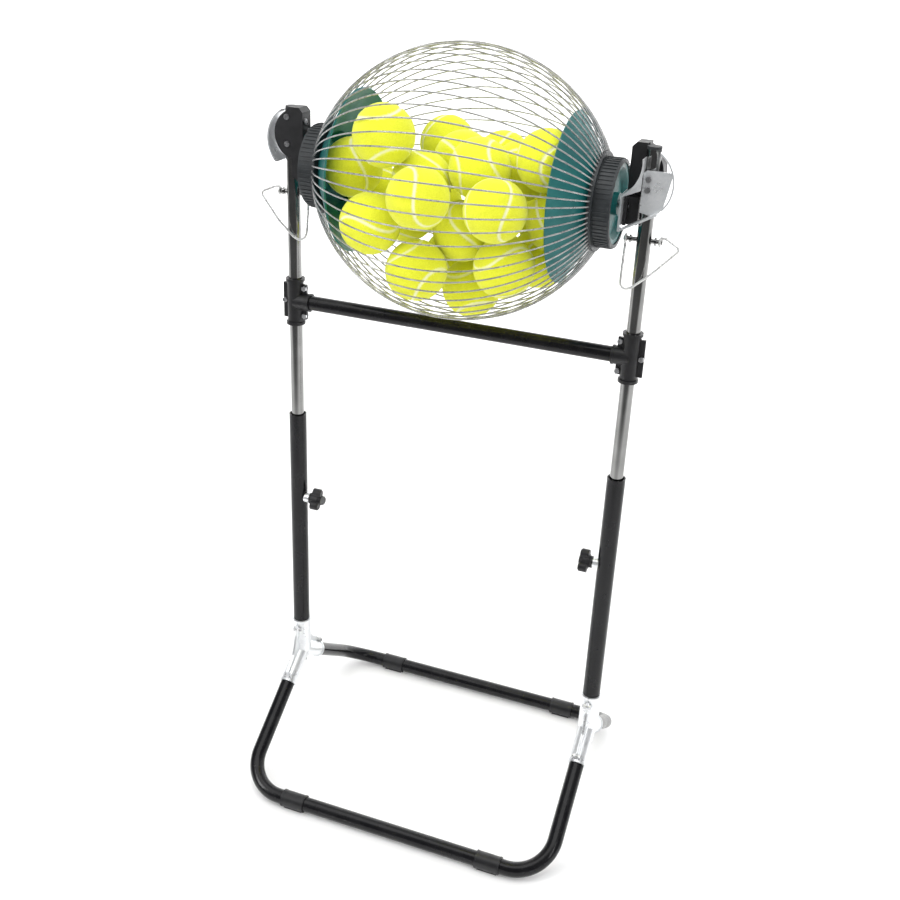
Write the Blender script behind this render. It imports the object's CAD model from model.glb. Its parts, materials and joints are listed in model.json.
"""Looks of the tennis ball collector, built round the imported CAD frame. Metres, Z up, -Y is the front."""

import json
import math
import random

import bmesh
import bpy
from mathutils import Euler, Matrix, Vector, noise


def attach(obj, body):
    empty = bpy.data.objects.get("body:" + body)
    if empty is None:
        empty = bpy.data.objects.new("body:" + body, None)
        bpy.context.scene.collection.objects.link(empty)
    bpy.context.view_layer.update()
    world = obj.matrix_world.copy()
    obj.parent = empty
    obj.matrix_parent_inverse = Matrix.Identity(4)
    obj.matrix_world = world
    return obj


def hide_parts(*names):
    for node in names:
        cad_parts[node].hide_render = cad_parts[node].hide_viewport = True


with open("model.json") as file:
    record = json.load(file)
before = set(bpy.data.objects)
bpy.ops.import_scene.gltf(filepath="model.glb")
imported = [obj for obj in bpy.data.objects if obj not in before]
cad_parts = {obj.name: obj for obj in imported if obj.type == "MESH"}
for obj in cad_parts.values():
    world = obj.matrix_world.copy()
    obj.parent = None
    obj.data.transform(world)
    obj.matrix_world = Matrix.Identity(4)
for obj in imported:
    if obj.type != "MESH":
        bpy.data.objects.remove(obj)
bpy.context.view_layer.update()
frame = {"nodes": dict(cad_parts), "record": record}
RNG = random.Random(7)

# ---- sizes shared with the CAD, in metres ----
AXIS_Z = 0.811
UPRIGHT_X = 0.209
PIN_Z = 0.776
ARC_R = 0.1772
ARC_DROP = 0.0282
WIRE_R = 0.0009
WIRE_COUNT = 60
WIRE_END_X = 0.1592
BAIL_R = 0.0014  # radius of the bails' wire
BAIL_CORNER = 0.006
BAIL_EYE_R = 0.0041
BAIL_EYES_X = (-0.0197, 0.0176)  # the two eyes of a bail, from its upright
MM = 0.001

# ---- camera ----
CAM_PLACE = (0.4349, -1.2000, 1.1027)
CAM_TURN = (64.0974, -2.3241, 21.0338)
CAM_LENS = 46.145

# ---- studio ----
FLOOR_HALF = 9.0
FLOOR_FRONT = -9.0
FLOOR_BACK = 7.0
BACKDROP_TOP = 9.0
BACKDROP_BEND = 3.0
MIDDLE = (0.0, 0.0, 0.55)  # what the lamps in front aim at
DARK_FROM = -0.75  # in front of this line the floor looks dim in reflections
DIM_WHITE = 0.12
DIM_FADE = 0.6  # how far the floor takes to get that dim
WHITE_STRENGTH = 0.82

# ---- balls; lengths are fractions of a ball's radius ----
SEAM_SHAPE = (0.75, 0.25)
SEAM_STEPS = 180
SEAM_HALF_WIDTH = 0.048
SEAM_DEPTH = 0.022
FELT_LEVEL = 0.994  # the felt's mean level, low enough for its unevenness to stay within the CAD ball


# ---- scene set-up: camera, floor, light ----

def make_camera():
    cam = bpy.data.objects.new("camera", bpy.data.cameras.new("camera"))
    bpy.context.scene.collection.objects.link(cam)
    cam.location = CAM_PLACE
    cam.rotation_euler = Euler([math.radians(a) for a in CAM_TURN], "XYZ")
    cam.data.sensor_width = 36.0
    cam.data.lens = CAM_LENS
    cam.data.clip_start = 0.05
    cam.data.clip_end = 60.0
    bpy.context.scene.camera = cam


def link(name, mesh):
    obj = bpy.data.objects.new(name, mesh)
    bpy.context.scene.collection.objects.link(obj)
    return obj


def make_floor():
    """Pale floor that curves up into a backdrop far behind the object."""
    steps, foot = 24, FLOOR_BACK - BACKDROP_BEND
    profile = [(FLOOR_FRONT, 0.0), (foot, 0.0)]
    for i in range(1, steps + 1):
        a = math.pi / 2 * i / steps
        profile.append((foot + BACKDROP_BEND * math.sin(a), BACKDROP_BEND - BACKDROP_BEND * math.cos(a)))
    profile.append((FLOOR_BACK, BACKDROP_TOP))
    bm = bmesh.new()
    rows = [[bm.verts.new((x, y, z)) for y, z in profile] for x in (-FLOOR_HALF, FLOOR_HALF)]
    for i in range(len(profile) - 1):
        bm.faces.new((rows[0][i], rows[1][i], rows[1][i + 1], rows[0][i + 1]))
    mesh = bpy.data.meshes.new("floor")
    bm.to_mesh(mesh)
    bm.free()
    for p in mesh.polygons:
        p.use_smooth = True
    floor = link("floor", mesh)
    floor.data.materials.append(floor_material())


def area_light(name, place, target, size, power):
    data = bpy.data.lights.new(name, "AREA")
    data.shape = "RECTANGLE"
    data.size, data.size_y = size
    data.energy = power
    obj = bpy.data.objects.new(name, data)
    bpy.context.scene.collection.objects.link(obj)
    obj.location = place
    obj.rotation_euler = (Vector(target) - Vector(place)).to_track_quat("-Z", "Y").to_euler()


def make_lights():
    area_light("top", (0.0, -0.6, 3.0), MIDDLE, (3.0, 2.4), 44.0)
    area_light("front_left", (-2.0, -2.0, 1.9), MIDDLE, (0.5, 1.8), 26.0)
    area_light("front_right", (2.2, -1.6, 1.7), MIDDLE, (0.3, 1.6), 11.0)
    area_light("backdrop", (0.0, 2.0, 4.0), (0.0, 6.5, 1.5), (14.0, 2.0), 620.0)


def make_world():
    """White surroundings, but polished surfaces reflect a dim studio in front of the object."""
    world = bpy.data.worlds.new("world")
    bpy.context.scene.world = world
    world.use_nodes = True
    nt = world.node_tree
    nt.nodes.clear()
    coord = nt.nodes.new("ShaderNodeTexCoord")
    split = nt.nodes.new("ShaderNodeSeparateXYZ")
    ramp = nt.nodes.new("ShaderNodeValToRGB")
    path = nt.nodes.new("ShaderNodeLightPath")
    white = nt.nodes.new("ShaderNodeBackground")
    mirrored = nt.nodes.new("ShaderNodeBackground")
    mix = nt.nodes.new("ShaderNodeMixShader")
    out = nt.nodes.new("ShaderNodeOutputWorld")
    nt.links.new(coord.outputs["Generated"], split.inputs[0])
    nt.links.new(split.outputs["Y"], ramp.inputs[0])
    front, back = ramp.color_ramp.elements
    front.position, front.color = 0.0, (0.05, 0.05, 0.055, 1.0)
    back.position, back.color = 0.45, (0.95, 0.95, 0.95, 1.0)
    nt.links.new(ramp.outputs["Color"], mirrored.inputs["Color"])
    white.inputs["Color"].default_value = (1.0, 1.0, 1.0, 1.0)
    white.inputs["Strength"].default_value = WHITE_STRENGTH
    nt.links.new(path.outputs["Is Glossy Ray"], mix.inputs[0])
    nt.links.new(white.outputs[0], mix.inputs[1])
    nt.links.new(mirrored.outputs[0], mix.inputs[2])
    nt.links.new(mix.outputs[0], out.inputs[0])


# ---- materials ----

class Shader:
    """A principled material with small helpers for its procedural detail."""

    def __init__(self, name, **sockets):
        self.mat = bpy.data.materials.new(name)
        self.mat.use_nodes = True
        self.nt = self.mat.node_tree
        self.bsdf = next(n for n in self.nt.nodes if n.type == "BSDF_PRINCIPLED")
        self.coord = self.nt.nodes.new("ShaderNodeTexCoord")
        for key, value in sockets.items():
            self.bsdf.inputs[key.replace("_", " ")].default_value = value

    def new(self, kind, **attributes):
        node = self.nt.nodes.new(kind)
        for key, value in attributes.items():
            setattr(node, key, value)
        return node

    def link(self, a, b):
        self.nt.links.new(a, b)

    def noise(self, scale, detail=3.0, stretch=(1.0, 1.0, 1.0), rough=0.5):
        mapping = self.new("ShaderNodeMapping")
        mapping.inputs["Scale"].default_value = stretch
        tex = self.new("ShaderNodeTexNoise")
        tex.inputs["Scale"].default_value = scale
        tex.inputs["Detail"].default_value = detail
        tex.inputs["Roughness"].default_value = rough
        self.link(self.coord.outputs["Object"], mapping.inputs[0])
        self.link(mapping.outputs[0], tex.inputs["Vector"])
        return tex.outputs["Fac"]

    def cells(self, scale):
        tex = self.new("ShaderNodeTexVoronoi")
        tex.inputs["Scale"].default_value = scale
        self.link(self.coord.outputs["Object"], tex.inputs["Vector"])
        return tex.outputs["Color"]

    def ramp(self, value, low, high, at=(0.3, 0.7)):
        node = self.new("ShaderNodeMapRange")
        node.inputs["From Min"].default_value, node.inputs["From Max"].default_value = at
        node.inputs["To Min"].default_value, node.inputs["To Max"].default_value = low, high
        self.link(value, node.inputs["Value"])
        return node.outputs["Result"]

    def mix(self, factor, a, b):
        node = self.new("ShaderNodeMix", data_type="RGBA")
        for socket, value in ((node.inputs[6], a), (node.inputs[7], b)):
            if isinstance(value, tuple):
                socket.default_value = (*value, 1.0)
            else:
                self.link(value, socket)
        self.link(factor, node.inputs[0])
        return node.outputs[2]

    def colour(self, socket):
        self.link(socket, self.bsdf.inputs["Base Color"])

    def rough(self, socket):
        self.link(socket, self.bsdf.inputs["Roughness"])

    def bump(self, height, strength, distance):
        node = self.new("ShaderNodeBump")
        node.inputs["Strength"].default_value = strength
        node.inputs["Distance"].default_value = distance
        self.link(height, node.inputs["Height"])
        self.link(node.outputs["Normal"], self.bsdf.inputs["Normal"])


def floor_material():
    """Matt white. Polished surfaces see it fade to a dim studio in front of the object."""
    s = Shader("floor_white")
    s.colour(s.mix(s.ramp(s.noise(3.0), 0.0, 1.0), (0.9, 0.9, 0.9), (0.93, 0.93, 0.93)))
    s.bsdf.inputs["Roughness"].default_value = 0.7
    split = s.new("ShaderNodeSeparateXYZ")
    s.link(s.coord.outputs["Object"], split.inputs[0])
    fade = s.ramp(split.outputs["Y"], 1.0, 0.0, (DARK_FROM - DIM_FADE, DARK_FROM))
    path = s.new("ShaderNodeLightPath")
    both = s.new("ShaderNodeMath", operation="MULTIPLY")
    s.link(fade, both.inputs[0])
    s.link(path.outputs["Is Glossy Ray"], both.inputs[1])
    dim = s.new("ShaderNodeBsdfDiffuse")
    dim.inputs["Color"].default_value = (DIM_WHITE, DIM_WHITE, DIM_WHITE, 1.0)
    mix = s.new("ShaderNodeMixShader")
    out = next(n for n in s.nt.nodes if n.type == "OUTPUT_MATERIAL")
    s.link(both.outputs[0], mix.inputs[0])
    s.link(s.bsdf.outputs[0], mix.inputs[1])
    s.link(dim.outputs[0], mix.inputs[2])
    s.link(mix.outputs[0], out.inputs["Surface"])
    return s.mat


def gloss_black():
    """Black powder coat with a faint orange peel and dull handling marks."""
    s = Shader("black_powder_coat", Coat_Weight=0.18, Coat_Roughness=0.08, Specular_IOR_Level=0.2)
    s.colour(s.mix(s.ramp(s.noise(60.0), 0.0, 1.0), (0.005, 0.005, 0.006), (0.010, 0.010, 0.011)))
    s.rough(s.ramp(s.noise(35.0, 5.0), 0.18, 0.28))
    s.bump(s.noise(900.0, 1.0), 0.04, 0.0001)
    return s.mat


def satin_black(name, base, rough, grain, depth):
    """Textured black paint or nylon, its grain and bump depth given."""
    s = Shader(name, Specular_IOR_Level=0.45)
    lift = tuple(c * 1.7 for c in base)
    s.colour(s.mix(s.ramp(s.noise(90.0, 5.0), 0.0, 1.0), base, lift))
    s.rough(s.ramp(s.noise(140.0, 3.0), rough - 0.06, rough + 0.08))
    s.bump(s.noise(grain, 2.0), 0.25, depth)
    return s.mat


def bright_zinc():
    """Pressed zinc-plated sheet: pale spangle, drawn scratches and duller patches."""
    s = Shader("bright_zinc", Metallic=0.72)
    spangle = s.ramp(s.cells(420.0), 0.0, 1.0, (0.0, 1.0))
    s.colour(s.mix(spangle, (0.84, 0.86, 0.88), (0.93, 0.945, 0.955)))
    s.rough(s.ramp(s.noise(70.0, 6.0), 0.24, 0.42))
    s.bump(s.noise(600.0, 4.0, (1.0, 1.0, 0.12)), 0.15, 0.0002)
    return s.mat


def bolt_steel():
    """Turned and slightly stained bolt heads."""
    s = Shader("bolt_steel", Metallic=1.0)
    s.colour(s.mix(s.ramp(s.noise(300.0), 0.0, 1.0), (0.52, 0.53, 0.55), (0.74, 0.74, 0.75)))
    s.rough(s.ramp(s.noise(220.0, 4.0), 0.2, 0.4))
    s.bump(s.noise(900.0, 2.0), 0.15, 0.0001)
    return s.mat


def mirror_chrome():
    """Polished chrome tube with faint smears and long draw lines."""
    s = Shader("mirror_chrome", Metallic=1.0)
    s.colour(s.mix(s.ramp(s.noise(25.0), 0.0, 1.0), (0.24, 0.24, 0.235), (0.33, 0.33, 0.325)))
    s.rough(s.ramp(s.noise(18.0, 5.0), 0.05, 0.15))
    s.bump(s.noise(1500.0, 2.0, (1.0, 1.0, 0.02)), 0.05, 0.0001)
    return s.mat


def wire_steel(name, dark, light):
    """Plated wire, slightly dull, with darker stretches."""
    s = Shader(name, Metallic=0.6)
    s.colour(s.mix(s.ramp(s.noise(80.0, 4.0), 0.0, 1.0), dark, light))
    s.rough(s.ramp(s.noise(120.0, 3.0), 0.2, 0.36))
    return s.mat


def teal_plastic():
    """Moulded teal plastic: fine texture and slight flow marks."""
    s = Shader("teal_plastic", Specular_IOR_Level=0.45)
    s.colour(s.mix(s.ramp(s.noise(14.0, 5.0), 0.0, 1.0), (0.004, 0.110, 0.112), (0.012, 0.165, 0.160)))
    s.rough(s.ramp(s.noise(60.0, 4.0), 0.32, 0.46))
    s.bump(s.noise(1800.0, 2.0), 0.15, 0.00015)
    return s.mat


def felt():
    """Optic-yellow felt with a woolly surface; the seam is a smooth pale rubber line."""
    s = Shader("ball_felt")
    wool = s.noise(700.0, 5.0, rough=0.65)
    patch = s.noise(45.0, 3.0)
    yellow = s.mix(s.ramp(wool, 0.0, 1.0), (0.70, 0.735, 0.014), (0.87, 0.885, 0.050))
    shade = s.mix(s.ramp(patch, 0.0, 0.35), yellow, (0.76, 0.775, 0.022))
    seam = s.new("ShaderNodeAttribute", attribute_name="seam")
    s.colour(s.mix(seam.outputs["Fac"], shade, (0.90, 0.91, 0.55)))
    s.bsdf.inputs["Roughness"].default_value = 0.95
    s.bsdf.inputs["Sheen Weight"].default_value = 0.35
    s.bsdf.inputs["Sheen Roughness"].default_value = 0.5
    s.bsdf.inputs["Sheen Tint"].default_value = (0.95, 1.0, 0.5, 1.0)
    s.bump(wool, 0.6, 0.0006)
    return s.mat


MATERIALS = {
    "black_tube": gloss_black(),
    "black_clamp": satin_black("black_clamp_paint", (0.008, 0.008, 0.009), 0.38, 900.0, 0.0002),
    "black_plastic": satin_black("black_nylon", (0.010, 0.010, 0.011), 0.42, 1600.0, 0.0003),
    "bush_plastic": satin_black("bush_nylon", (0.020, 0.021, 0.023), 0.5, 1500.0, 0.0003),
    "grey_plastic": satin_black("ring_plastic", (0.020, 0.023, 0.025), 0.45, 1500.0, 0.0003),
    "zinc": bright_zinc(),
    "steel_bolt": bolt_steel(),
    "chrome": mirror_chrome(),
    "cage_steel": wire_steel("wire_steel", (0.30, 0.30, 0.30), (0.52, 0.52, 0.515)),
    "teal_plastic": teal_plastic(),
    "felt": felt(),
}
BAIL_STEEL = wire_steel("bail_steel", (0.60, 0.60, 0.59), (0.82, 0.82, 0.81))


# Radius of the softened edges of the CAD nodes, by material slot
SOFT_EDGES = {
    "zinc": 0.0003,
    "black_clamp": 0.0004,
    "black_plastic": 0.0004,
    "teal_plastic": 0.0003,
    "grey_plastic": 0.0002,
}


def dress_cad_nodes():
    """Gives every CAD node the procedural material of its slot, and softened edges where it has them."""
    slots = {p["node"]: p["material_slot"] for p in frame["record"]["subparts"]}
    for name, obj in frame["nodes"].items():
        obj.data.materials.clear()
        obj.data.materials.append(MATERIALS[slots[name]])
        if slots[name] in SOFT_EDGES:
            bevel = obj.modifiers.new("soft_edges", "BEVEL")
            bevel.width = SOFT_EDGES[slots[name]]
            bevel.segments = 2
            bevel.limit_method = "ANGLE"
            bevel.angle_limit = math.radians(50.0)
            bevel.harden_normals = True


# ---- mesh helpers ----

def finish_mesh(name, bm, body, replaced, material):
    """Turns a bmesh into a smooth piece that rides on a body in place of a CAD node."""
    bmesh.ops.recalc_face_normals(bm, faces=bm.faces)
    mesh = bpy.data.meshes.new(name)
    bm.to_mesh(mesh)
    bm.free()
    for p in mesh.polygons:
        p.use_smooth = True
    obj = link(name, mesh)
    mesh.materials.append(material)
    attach(obj, body)
    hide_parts(*replaced)


def sweep(bm, path, radius, sides, closed_ends=True):
    """A round wire along a path of points."""
    rings = []
    side = None
    for i, p in enumerate(path):
        ahead = path[min(i + 1, len(path) - 1)] - path[max(i - 1, 0)]
        d = ahead.normalized()
        if side is None:
            side = d.orthogonal().normalized()
        side = (side - d * side.dot(d)).normalized()
        up = d.cross(side)
        rings.append([bm.verts.new(p + radius * (math.cos(a) * side + math.sin(a) * up))
                      for a in (2 * math.pi * k / sides for k in range(sides))])
    for a, b in zip(rings, rings[1:]):
        for k in range(sides):
            bm.faces.new((a[k], a[(k + 1) % sides], b[(k + 1) % sides], b[k]))
    if closed_ends:
        bm.faces.new(rings[0])
        bm.faces.new(rings[-1])


def round_path(pts, radius):
    """Rounds the corners of a polyline."""
    steps = 6
    out = [pts[0]]
    for a, b, c in zip(pts, pts[1:], pts[2:]):
        u, v = (a - b), (c - b)
        cut = min(radius, u.length * 0.45, v.length * 0.45)
        p, q = b + u.normalized() * cut, b + v.normalized() * cut
        for i in range(steps + 1):
            t = i / steps
            out.append(p.lerp(b, t).lerp(b.lerp(q, t), t))
    out.append(pts[-1])
    return out


# ---- cage ----

def build_wires():
    """The cage: arcs of wire all round the axis."""
    bm = bmesh.new()
    steps = 64
    half = math.asin(WIRE_END_X / ARC_R)
    for k in range(WIRE_COUNT):
        turn = Matrix.Rotation(2 * math.pi * k / WIRE_COUNT, 3, "X")
        path = []
        for i in range(steps + 1):
            a = -half + 2 * half * i / steps
            flat = Vector((ARC_R * math.sin(a), ARC_R * math.cos(a) - ARC_DROP, 0.0))
            path.append(turn @ flat + Vector((0.0, 0.0, AXIS_Z)))
        sweep(bm, path, WIRE_R, 8)
    finish_mesh("cage_wire_set", bm, "basket", ["cage_wires"], MATERIALS["cage_steel"])


# ---- balls ----


def seam_curve():
    """The closed curve on a unit sphere that a tennis ball's seam follows."""
    a, b = SEAM_SHAPE
    c = 2.0 * math.sqrt(a * b)
    out = []
    for i in range(SEAM_STEPS):
        t = 2 * math.pi * i / SEAM_STEPS
        p = Vector((a * math.cos(t) + b * math.cos(3 * t), a * math.sin(t) - b * math.sin(3 * t),
                    c * math.sin(2 * t)))
        out.append(p.normalized())
    return out


SEAM_POINTS = seam_curve()


def seam_distance(p):
    """Roughly how far a point of the unit sphere lies from the ball's one curving seam, in radii."""
    return math.sqrt(min((p - q).length_squared for q in SEAM_POINTS))


def ball_mesh(radius):
    """One felt ball, meshed finely along its seam: a shallow pale groove in slightly uneven felt."""
    bm = bmesh.new()
    bmesh.ops.create_icosphere(bm, subdivisions=5, radius=1.0)
    fine_to = SEAM_HALF_WIDTH * 2.4
    near = {v for v in bm.verts if seam_distance(v.co.normalized()) < fine_to}
    edges = [e for e in bm.edges if e.verts[0] in near and e.verts[1] in near]
    bmesh.ops.subdivide_edges(bm, edges=edges, cuts=1, use_grid_fill=True)
    marks = []
    for v in bm.verts:
        p = v.co.normalized()
        d = seam_distance(p)
        # 1 in the groove, fading to 0 at its edge
        inside = max(0.0, min(1.0, (SEAM_HALF_WIDTH * 1.35 - d) / (SEAM_HALF_WIDTH * 0.7)))
        wool = 0.004 * noise.noise(p * 24.0) + 0.003 * noise.noise(p * 55.0)
        v.co = p * radius * (FELT_LEVEL - SEAM_DEPTH * inside + wool * (1.0 - inside))
        marks.append(inside)
    bmesh.ops.triangulate(bm, faces=[f for f in bm.faces if len(f.verts) > 3])
    mesh = bpy.data.meshes.new("felt_ball")
    bm.to_mesh(mesh)
    bm.free()
    mesh.attributes.new("seam", "FLOAT", "POINT").data.foreach_set("value", marks)
    for p in mesh.polygons:
        p.use_smooth = True
    mesh.materials.append(MATERIALS["felt"])
    return mesh


def cad_balls():
    """Centre and radius of each CAD ball, one for each loose solid of their node."""
    bm = bmesh.new()
    bm.from_mesh(frame["nodes"]["tennis_balls"].data)
    bmesh.ops.remove_doubles(bm, verts=bm.verts, dist=1e-5)
    seen, balls = set(), []
    for start in bm.verts:
        if start in seen:
            continue
        stack, part = [start], []
        seen.add(start)
        while stack:
            v = stack.pop()
            part.append(v.co.copy())
            for e in v.link_edges:
                o = e.other_vert(v)
                if o not in seen:
                    seen.add(o)
                    stack.append(o)
        low = Vector([min(p[i] for p in part) for i in range(3)])
        high = Vector([max(p[i] for p in part) for i in range(3)])
        balls.append(((low + high) / 2, (high - low).x / 2))
    bm.free()
    return balls


def build_balls():
    """A felt ball, turned at random, in the place of each CAD ball."""
    balls = cad_balls()
    mesh = ball_mesh(balls[0][1])
    for i, (place, _) in enumerate(balls):
        ball = link(f"felt_ball_{i:02d}", mesh)
        ball.location = place
        ball.rotation_euler = [RNG.uniform(0.0, 2 * math.pi) for _ in range(3)]
        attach(ball, "upper_frame")
        if i == 0:
            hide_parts("tennis_balls")


# ---- bails ----

def build_bail(side):
    """Sprung wire loop hung on the lock pin: straight runs with rounded corners and an eye at each end."""
    sign = -1.0 if side == "left" else 1.0
    points = [(17.6, 0.0, 4.5), (23.0, -1.0, 5.0), (38.0, -6.0, -2.0), (38.5, -7.0, -5.5),
              (14.0, -12.5, -32.0), (-6.0, -12.5, -50.0), (-13.0, -11.5, -53.0), (-18.5, -9.0, -50.0),
              (-19.6, -6.0, -44.0), (-19.6, -0.5, -4.5)]
    place = [Vector((sign * (UPRIGHT_X + x * MM), y * MM, PIN_Z + z * MM)) for x, y, z in points]
    bm = bmesh.new()
    sweep(bm, round_path(place, BAIL_CORNER), BAIL_R, 12)
    steps = 24
    for x in BAIL_EYES_X:
        eye = []
        for i in range(steps + 1):
            a = 2 * math.pi * i / steps
            y, z = BAIL_EYE_R * math.sin(a), BAIL_EYE_R * math.cos(a)
            eye.append(Vector((sign * (UPRIGHT_X + x), y, PIN_Z + z)))
        sweep(bm, eye, BAIL_R, 10, closed_ends=False)
    finish_mesh(f"{side}_bail_wire", bm, f"{side}_wire_bail", [f"{side}_bail"], BAIL_STEEL)


# ---- build ----

make_camera()
make_world()
make_lights()
make_floor()
dress_cad_nodes()
build_wires()
build_balls()
for which in ("left", "right"):
    build_bail(which)
bpy.context.scene.view_settings.view_transform = "Standard"
